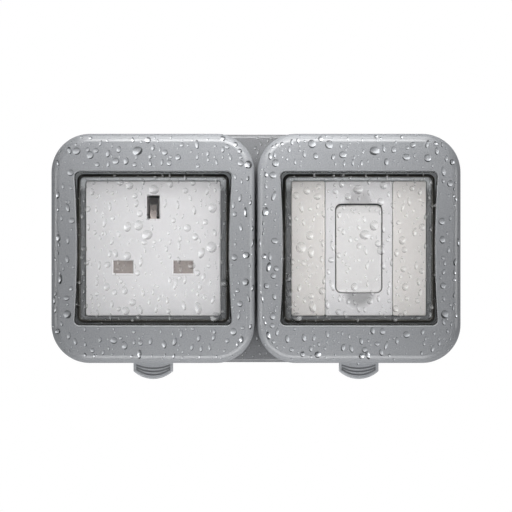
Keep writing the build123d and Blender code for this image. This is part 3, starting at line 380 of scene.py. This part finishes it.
lid_grey = moulded_plastic("lid grey", LID_GREY, roughness=0.25, shine=0.85)
# Painted shade in the tab's grooves, painted light on its ribs.
paint_tab_light_and_shade(lid_grey)
dress(lid_grey, "left_lid", "right_lid")

# WINDOWS
# Clear trays in lightly smoked polycarbonate, moulded with a thin rim and bonded behind the lids' openings.
# Handling has left them a little hazy.
SMOKE_TINT = (0.97, 0.975, 0.97)
WINDOW_IOR = 1.45
HAZE_PER_METRE = 90.0
HAZE_GLOSS = (0.01, 0.05)


def mixed(finish, share, first, second):
    """One surface, and a share of another over it."""
    mix = finish.node_tree.nodes.new("ShaderNodeMixShader")
    feed(finish, mix.inputs["Fac"], share)
    finish.node_tree.links.new(first, mix.inputs[1])
    finish.node_tree.links.new(second, mix.inputs[2])
    return mix.outputs["Shader"]


def smoked_plastic(name, tint):
    """Clear plastic that lets lamp light through to what is behind it."""
    material = bpy.data.materials.new(name)
    material.use_nodes = True
    nodes = material.node_tree.nodes
    links = material.node_tree.links
    clear = nodes["Principled BSDF"]
    clear.inputs["Base Color"].default_value = (*tint, 1)
    clear.inputs["Transmission Weight"].default_value = 1.0
    clear.inputs["IOR"].default_value = WINDOW_IOR
    haze = unevenness(material, nodes.new("ShaderNodeTexCoord").outputs["Object"], HAZE_PER_METRE)
    links.new(between(material, haze, *HAZE_GLOSS), clear.inputs["Roughness"])
    lets_through = nodes.new("ShaderNodeBsdfTransparent")
    lets_through.inputs["Color"].default_value = (*tint, 1)
    ray = nodes.new("ShaderNodeLightPath").outputs
    surface = mixed(material, ray["Is Shadow Ray"], clear.outputs["BSDF"], lets_through.outputs["BSDF"])
    links.new(surface, nodes["Material Output"].inputs["Surface"])
    return material


window_clear = smoked_plastic("smoked window", SMOKE_TINT)
dress(window_clear, "left_window", "right_window")

# RAIN
# Beads of rain standing on the lids, windows and frame, the larger ones drawn out where they start to run.
# Each is a low cap of clear water that sits a hair's breadth into the surface under it. Its colour carries
# painted shade on its upper rim and far lower edge, and a painted patch of gathered light low on the lamp
# side.
# Places and sizes of the large beads were read on the left lid; the right lid has them mirrored.
LARGE_BEADS_MM = [
    (-28.0, 35.1, 2.2, 2.7), (-9.2, 31.6, 2.5, 2.2), (17.1, 37.6, 2.2, 3.2), (14.3, 39.9, 1.6, 2.2),
    (-5.7, 36.0, 2.9, 2.0), (-12.7, 35.7, 1.3, 2.5), (-1.3, 30.8, 1.6, 2.2), (2.8, 31.1, 1.4, 2.5),
    (6.0, 30.8, 1.4, 2.4), (9.2, 33.3, 1.9, 1.8), (15.9, 33.3, 1.4, 2.5), (25.2, 35.9, 1.8, 2.2),
    (24.1, 31.4, 1.4, 2.2), (-34.5, 31.1, 1.3, 2.2), (-33.1, 10.6, 1.6, 1.9), (-30.8, 2.3, 1.6, 2.9),
    (-31.8, -18.9, 1.6, 1.9), (-31.6, -24.3, 2.2, 1.9), (-1.0, -30.2, 2.5, 2.5), (5.7, -29.7, 2.9, 2.4),
    (-14.6, -34.7, 2.0, 2.5), (-10.2, -36.7, 1.6, 3.2), (-0.3, -35.1, 2.0, 2.5), (-4.2, -39.9, 2.4, 3.2),
    (11.0, -32.3, 1.8, 2.7), (14.1, -32.5, 1.9, 2.9), (16.2, -33.7, 1.9, 2.5), (18.4, -37.7, 1.9, 2.2),
    (29.8, -31.6, 1.8, 2.9), (33.3, -33.5, 2.2, 3.8), (32.1, -25.9, 1.6, 2.9), (34.9, 12.5, 1.8, 3.5),
    (36.2, 1.1, 1.4, 3.2), (35.2, -19.3, 1.1, 3.2), (-23.2, 20.4, 2.5, 2.2), (-15.3, 14.4, 1.8, 3.2),
    (-8.9, 22.8, 2.4, 2.4), (0.3, 21.7, 2.9, 2.2), (6.6, 23.0, 1.6, 3.2), (19.3, 20.4, 1.9, 2.9),
    (21.9, 13.8, 2.4, 3.8), (-9.6, 6.8, 2.0, 3.8), (-5.4, 7.3, 2.5, 3.8), (-2.2, 5.0, 3.2, 2.2),
    (-15.9, 2.0, 2.0, 3.2), (-13.0, -2.1, 2.5, 2.5), (9.2, 0.1, 1.6, 3.5), (16.8, -2.1, 3.2, 3.5),
    (21.8, -0.8, 3.0, 4.1), (-20.4, -7.2, 1.8, 3.2), (-21.4, -13.2, 2.0, 2.9), (-17.0, -15.1, 1.8, 2.9),
    (-10.2, -16.4, 1.8, 3.2), (-4.2, -17.0, 2.0, 2.0), (8.9, -14.5, 2.4, 4.1), (12.4, -12.6, 1.9, 3.2),
    (4.7, -19.9, 2.0, 2.4), (12.4, -21.8, 2.4, 3.5), (18.1, -23.1, 3.8, 4.4), (0.6, -23.1, 1.8, 3.2),
    (23.2, -25.6, 3.2, 2.5), (-23.2, 7.1, 2.0, 2.5),
]
LARGE_BEAD_WIDER = 1.3
LARGE_BEAD_TALLER = 1.65
SMALL_BEADS = 3200
SMALL_BEAD_MM = (0.9, 3.0)
SMALL_BEAD_SHARE = 2.7
SMALL_BEAD_SLENDER = (1.15, 2.1)
RAIN_SEED = 41
RAIN_FROM = -1.0
RAIN_HALF_HEIGHT = 0.043
BEAD_SPACING = 0.9
BEAD_SINK = 0.03 * MM
BEAD_LEAN = 0.35
SEAT_BEND = math.radians(35)
ROUND_UNDER = 1.1
DRAWN_UNDER = 1.45
BEAD_SIDES = 12
BEAD_RINGS = 8
BEAD_HEIGHT = 0.42
BEAD_EDGE = math.radians(50)
TAIL_FROM = 0.8
PINCH_REACH = 1.5
TAIL_REACH = 1.6
TAIL_BACK = 0.5
SLANT_BACK = 0.25
WATER_TINT = (0.97, 0.985, 0.99)
WATER_IOR = 1.33
FILM_PER_METRE = 700.0
FILM_GLOSS = (0.0, 0.03)
PAINTED_RIM_SHADE = {"across": -0.4, "up": 0.92, "start": 0.1, "end": 0.5}
PAINTED_PATCH_LIGHT = {"across": 0.4, "up": -0.92, "start": -0.12, "end": 0.28}
PAINTED_EDGE_SHADE = {"across": -0.5, "up": -0.87, "start": 0.16, "end": 0.32}
# rim and edge are tones of painted shade, patch a tone of painted light, scatter how much of the patch is
# lit haze.
LID_RAIN = {"rim": 0.62, "patch": 1.7, "edge": 0.28, "scatter": 0.16, "lens": 0.1, "shadow": 0.66}
WINDOW_RAIN = {"rim": 0.87, "patch": 1.11, "edge": 0.78, "scatter": 0.12, "lens": 0.1, "shadow": 0.92}


def rain_bead(name, tail, pinch, slant):
    """One bead lying on z = 0, a unit from middle to side, its tail drawn out towards +Y and slanting."""
    bpy.ops.object.select_all(action="DESELECT")
    bpy.ops.mesh.primitive_uv_sphere_add(segments=BEAD_SIDES, ring_count=BEAD_RINGS, radius=1.0)
    bead = bpy.context.object
    bead.name = name
    bpy.ops.object.mode_set(mode="EDIT")
    bpy.ops.mesh.bisect(plane_co=(0, 0, 0), plane_no=(0, 0, 1), use_fill=True, clear_inner=True)
    bpy.ops.mesh.select_all(action="SELECT")
    bpy.ops.transform.resize(value=(1, 1, BEAD_HEIGHT), center_override=(0, 0, 0))
    bpy.ops.object.mode_set(mode="OBJECT")
    for corner in bead.data.vertices:
        corner.select = corner.co.y > TAIL_FROM
    bpy.ops.object.mode_set(mode="EDIT")
    pulled = {"use_proportional_edit": True, "proportional_edit_falloff": "SMOOTH"}
    bpy.ops.transform.resize(
        value=(pinch, 1, pinch), center_override=(0, 1, 0), proportional_size=PINCH_REACH, **pulled
    )
    bpy.ops.transform.translate(value=(slant, tail, 0), proportional_size=TAIL_REACH, **pulled)
    bpy.ops.mesh.select_all(action="SELECT")
    bpy.ops.transform.translate(value=(-slant * SLANT_BACK, -tail * TAIL_BACK, 0))
    bpy.ops.object.mode_set(mode="OBJECT")
    half_width = max(abs(corner.co.x) for corner in bead.data.vertices)
    half_length = (2 + tail) / 2
    bpy.ops.object.mode_set(mode="EDIT")
    bpy.ops.transform.resize(value=(1 / half_width, 1 / half_length, 1), center_override=(0, 0, 0))
    bpy.ops.object.mode_set(mode="OBJECT")
    bpy.ops.object.shade_smooth_by_angle(angle=BEAD_EDGE)
    skin = bead.data.attributes.new("skin", "FLOAT_VECTOR", "POINT")
    skin.data.foreach_set("vector", [part for corner in bead.data.vertices for part in corner.normal])
    return bead


def leaning(material, lamp_side, across, up, start, end):
    """How far a bead's skin leans across and up its seat: 0 up to start, 1 from end on, soft between."""
    slope = material.node_tree.nodes.new("ShaderNodeVectorMath")
    slope.operation = "DOT_PRODUCT"
    slope.inputs[1].default_value = (across * lamp_side, up, 0)
    skin = material.node_tree.nodes.new("ShaderNodeAttribute")
    skin.attribute_name = "skin"
    material.node_tree.links.new(skin.outputs["Vector"], slope.inputs[0])
    return between(material, slope.outputs["Value"], 0.0, 1.0, start, end, soft=True)


def rain_water(name, lamp_side, rim, patch, edge, scatter, lens, shadow):
    """Clear water with painted shade on its upper rim and far lower edge, and painted light low on the lamp
    side.
    """
    material = bpy.data.materials.new(name)
    material.use_nodes = True
    nodes = material.node_tree.nodes
    links = material.node_tree.links
    water = nodes["Principled BSDF"]
    water.inputs["Base Color"].default_value = (*WATER_TINT, 1)
    water.inputs["Transmission Weight"].default_value = 1.0
    water.inputs["IOR"].default_value = WATER_IOR
    film = unevenness(material, nodes.new("ShaderNodeTexCoord").outputs["Object"], FILM_PER_METRE)
    links.new(between(material, film, *FILM_GLOSS), water.inputs["Roughness"])
    upper = leaning(material, lamp_side, **PAINTED_RIM_SHADE)
    lower = leaning(material, lamp_side, **PAINTED_PATCH_LIGHT)
    far = leaning(material, lamp_side, **PAINTED_EDGE_SHADE)
    # Painted shade on the upper rim and far lower edge, painted light (a tone over 1) in the patch.
    tone = between(material, upper, 1.0, rim)
    tone = between(material, lower, tone, patch)
    tone = between(material, far, tone, edge)
    seen_through = nodes.new("ShaderNodeBsdfTransparent")
    links.new(tone, seen_through.inputs["Color"])
    scattered = nodes.new("ShaderNodeAddShader")
    links.new(nodes.new("ShaderNodeBsdfDiffuse").outputs["BSDF"], scattered.inputs[0])
    links.new(nodes.new("ShaderNodeBsdfTranslucent").outputs["BSDF"], scattered.inputs[1])
    # Share of lit haze in the painted patch of gathered light.
    painted_patch_share = between(material, far, between(material, lower, 0.0, scatter), 0.0)
    gathered = mixed(material, painted_patch_share, seen_through.outputs["BSDF"], scattered.outputs["Shader"])
    glossed = mixed(material, lens, gathered, water.outputs["BSDF"])
    lets_through = nodes.new("ShaderNodeBsdfTransparent")
    lets_through.inputs["Color"].default_value = (shadow, shadow, shadow, 1)
    ray = nodes.new("ShaderNodeLightPath").outputs
    surface = mixed(material, ray["Is Shadow Ray"], glossed, lets_through.outputs["BSDF"])
    links.new(surface, nodes["Material Output"].inputs["Surface"])
    return material


bpy.context.view_layer.update()
depsgraph = bpy.context.evaluated_depsgraph_get()


def surface_at(x, z):
    """The first surface that a drop flying straight back from the front at x, z would meet."""
    start = Vector((x, RAIN_FROM, z))
    hit, spot, normal, _, carrier, _ = bpy.context.scene.ray_cast(depsgraph, start, Vector((0, 1, 0)))
    return (spot, normal, carrier.name) if hit else None


def seat_for_bead(x, z, width, height):
    """Where a bead's foot lies, or nothing where it would bridge an edge or another piece."""
    middle = surface_at(x, z)
    if middle is None:
        return None
    for dx, dz in ((width, 0), (-width, 0), (0, height), (0, -height)):
        beside = surface_at(x + dx / 2, z + dz / 2)
        if beside is None or beside[2] != middle[2]:
            return None
        if beside[1].angle(middle[1]) > SEAT_BEND:
            return None
    return middle


rain = random.Random(RAIN_SEED)
lid_low, lid_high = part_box("right_lid")
gang_x = (lid_low.x + lid_high.x) / 2
wanted = []
for x, z, width, height in LARGE_BEADS_MM:
    wide = LARGE_BEAD_WIDER * width * MM
    tall = LARGE_BEAD_TALLER * height * MM
    wanted.append((-gang_x + x * MM, z * MM, wide, tall))
    wanted.append((gang_x - x * MM, z * MM, wide, tall))
small, large = SMALL_BEAD_MM
shower = []
for _ in range(SMALL_BEADS):
    width = (small + (large - small) * rain.random() ** SMALL_BEAD_SHARE) * MM
    height = width * rain.uniform(*SMALL_BEAD_SLENDER)
    x = rain.uniform(cad_box[0].x, cad_box[1].x)
    z = rain.uniform(-RAIN_HALF_HEIGHT, RAIN_HALF_HEIGHT)
    shower.append((x, z, width, height))
wanted += sorted(shower, key=lambda bead: -bead[2])
taken = []
seats = []
for x, z, width, height in wanted:
    reach = (width + height) / 4
    if any(math.hypot(x - a, z - b) < BEAD_SPACING * (reach + r) for a, b, r in taken):
        continue
    seat = seat_for_bead(x, z, width, height)
    if seat:
        taken.append((x, z, reach))
        seats.append((seat, width, height))

round_bead = rain_bead("round bead", tail=0.0, pinch=0.9, slant=0.0)
drawn_beads = [
    rain_bead("drawn bead", tail=0.6, pinch=0.5, slant=0.1),
    rain_bead("bead drawn left", tail=0.6, pinch=0.55, slant=-0.6),
    rain_bead("bead drawn right", tail=0.7, pinch=0.5, slant=0.6),
]
running_beads = [
    rain_bead("running bead", tail=1.2, pinch=0.4, slant=0.0),
    rain_bead("bead running left", tail=1.0, pinch=0.35, slant=-0.5),
    rain_bead("bead running right", tail=1.1, pinch=0.4, slant=0.5),
]
water_on = {
    "left_lid": rain_water("rain on left lid", -1, **LID_RAIN),
    "left_window": rain_water("rain on left window", -1, **WINDOW_RAIN),
    "right_lid": rain_water("rain on right lid", 1, **LID_RAIN),
    "right_window": rain_water("rain on right window", 1, **WINDOW_RAIN),
}
body_under = {}
for body, names in frame["record"]["behaviour"]["bodies"].items():
    body_under.update(dict.fromkeys(names, body))
pools = {}
for (spot, normal, carrier), width, height in seats:
    slender = height / width
    if slender < ROUND_UNDER:
        shape = round_bead
    elif slender < DRAWN_UNDER:
        shape = rain.choice(drawn_beads)
    else:
        shape = rain.choice(running_beads)
    bead = bpy.data.objects.new("bead", shape.data.copy())
    up = (Vector((0, 0, 1)) - normal * normal.z).normalized()
    across = up.cross(normal)
    turn = Matrix((across, up, normal)).transposed().to_4x4()
    lean = Matrix.Rotation(rain.uniform(-BEAD_LEAN, BEAD_LEAN), 4, "Z")
    size = Matrix.Diagonal((width / 2, height / 2, (width + height) / 4, 1))
    seat = Matrix.Translation(spot - normal * BEAD_SINK)
    bead.data.transform(seat @ turn @ lean @ size)
    bead.data.materials.clear()
    bead.data.materials.append(water_on.get(carrier, water_on["left_lid"]))
    pools.setdefault(body_under[carrier], []).append(bead)
for shape in [round_bead, *drawn_beads, *running_beads]:
    bpy.data.objects.remove(shape)
for body, beads in pools.items():
    bpy.ops.object.select_all(action="DESELECT")
    for bead in beads:
        bpy.context.collection.objects.link(bead)
        bead.select_set(True)
    bpy.context.view_layer.objects.active = beads[0]
    bpy.ops.object.join()
    beads[0].name = body + "_rain"
    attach(beads[0], body)

# FLOOR
# A round of pale painted board some way below the unit, which takes its shadow. Looked at directly or
# through clear plastic, it fades most of the way to white.
FLOOR_PALE = (0.82, 0.82, 0.82)
FLOOR_RADIUS = 0.5
FLOOR_SIDES = 96
FLOOR_HEIGHT = -0.16
FLOOR_GLOW = 0.7
bpy.ops.object.select_all(action="DESELECT")
bpy.ops.mesh.primitive_circle_add(
    vertices=FLOOR_SIDES, radius=FLOOR_RADIUS, fill_type="NGON", location=(0, 0, FLOOR_HEIGHT)
)
floor = bpy.context.object
floor.name = "floor"
floor_paint = moulded_plastic(
    "floor paint", FLOOR_PALE, roughness=0.7, grain_mm=8, grain_depth_mm=0.0, fleck=0.01
)
floor_nodes = floor_paint.node_tree.nodes
floor_ray = floor_nodes.new("ShaderNodeLightPath").outputs
seen = reckon(floor_paint, "MAXIMUM", floor_ray["Is Camera Ray"], floor_ray["Is Transmission Ray"])
glow_share = between(floor_paint, seen, 0.0, FLOOR_GLOW)
floor_glow = floor_nodes.new("ShaderNodeEmission").outputs["Emission"]
floor_face = mixed(floor_paint, glow_share, floor_nodes["Principled BSDF"].outputs["BSDF"], floor_glow)
floor_paint.node_tree.links.new(floor_face, floor_nodes["Material Output"].inputs["Surface"])
floor.data.materials.append(floor_paint)

# LAMPS
# Soft boxes above and below the unit, two of them close to its face so that the rounded edges of the lids
# catch them, one high overhead for the top, and one well out at each side.
LIDS_AHEAD = -0.05
LIDS_ASIDE = 0.075
LIDS_MIDDLE = (0, LIDS_AHEAD, 0)
LIDS_UPPER = (0, LIDS_AHEAD, 0.04)
STRIP_AHEAD = -0.2
STRIP_ASIDE = 0.335


def soft_lamp(name, place, aim, width, height, watts):
    """A soft box at a place, turned to what it lights, and out of the camera's sight."""
    bpy.ops.object.light_add(type="AREA", location=place)
    lamp = bpy.context.object
    lamp.name = name
    lamp.data.shape = "RECTANGLE"
    lamp.data.size = width
    lamp.data.size_y = height
    lamp.data.energy = watts
    lamp.visible_camera = False
    lamp.rotation_euler = (Vector(aim) - Vector(place)).to_track_quat("-Z", "Y").to_euler()


soft_lamp("lamp above", (0, -0.16, 0.09), LIDS_MIDDLE, width=0.14, height=0.07, watts=0.097)
soft_lamp("lamp close", (0, -0.095, 0.068), LIDS_MIDDLE, width=0.14, height=0.03, watts=0.03)
soft_lamp("lamp below", (0, -0.095, -0.068), LIDS_MIDDLE, width=0.14, height=0.03, watts=0.027)
soft_lamp("lamp overhead", (0, -0.12, 0.24), LIDS_UPPER, width=0.24, height=0.12, watts=0.18)
for name, side in (("strip left", -1), ("strip right", 1)):
    strip_place = (side * STRIP_ASIDE, STRIP_AHEAD, 0)
    lid_side = (side * LIDS_ASIDE, LIDS_AHEAD, 0)
    soft_lamp(name, strip_place, lid_side, width=0.16, height=0.1, watts=0.1)

# STUDIO WALLS
# Pale walls behind and beside the unit, dim on the camera's side. Polished faces mirror them faintly, light
# that comes through clear plastic meets one even level, and the camera sees plain white.
WALL_WHITE = (0.95, 0.97, 1.0)
WALL_START = -0.3
WALL_END = 0.5
CAMERA_SIDE_LEVEL = 0.04
FAR_SIDE_LEVEL = 1.0
MATT_LEVEL = 0.95
MIRRORED_LEVEL = 0.25
THROUGH_CLEAR_LEVEL = 0.68
world = bpy.data.worlds.new("studio")
bpy.context.scene.world = world
world.use_nodes = True
wall_nodes = world.node_tree.nodes
wall_links = world.node_tree.links
wall_axes = wall_nodes.new("ShaderNodeSeparateXYZ")
wall_links.new(wall_nodes.new("ShaderNodeTexCoord").outputs["Generated"], wall_axes.inputs["Vector"])
wall_depth = between(
    world, wall_axes.outputs["Y"], CAMERA_SIDE_LEVEL, FAR_SIDE_LEVEL, WALL_START, WALL_END
)
wall_ray = wall_nodes.new("ShaderNodeLightPath").outputs
level = between(world, wall_ray["Is Glossy Ray"], MATT_LEVEL, MIRRORED_LEVEL)
strength = reckon(world, "MULTIPLY", level, wall_depth)
strength = between(world, wall_ray["Is Transmission Ray"], strength, THROUGH_CLEAR_LEVEL)
walls = wall_nodes["Background"]
walls.inputs["Color"].default_value = (*WALL_WHITE, 1)
wall_links.new(strength, walls.inputs["Strength"])
backdrop = wall_nodes.new("ShaderNodeBackground")
backdrop.inputs["Color"].default_value = (1, 1, 1, 1)
sight = mixed(world, wall_ray["Is Camera Ray"], walls.outputs["Background"], backdrop.outputs["Background"])
wall_links.new(sight, wall_nodes["World Output"].inputs["Surface"])

# CAMERA
# Straight on to the front, and far enough away that the unit's sides don't show. The lens is set by the
# width of the picture at the lids' front.
IMAGE_PX = 512
PHOTO_PX_PER_MM = 2.711
PHOTO_CENTRE_Z = -2.8 * MM
CAMERA_FROM_WALL = 4.0
CAMERA_SIGHT = 20.0
lid_front = -cad_box[0].y
picture_width = IMAGE_PX / PHOTO_PX_PER_MM * MM
camera_place = (0, -CAMERA_FROM_WALL, PHOTO_CENTRE_Z)
bpy.ops.object.camera_add(location=camera_place, rotation=(math.radians(90), 0, 0))
camera = bpy.context.object
camera.data.lens = camera.data.sensor_width * (CAMERA_FROM_WALL - lid_front) / picture_width
camera.data.clip_end = CAMERA_SIGHT
bpy.context.scene.camera = camera
bpy.context.scene.view_settings.view_transform = "Standard"
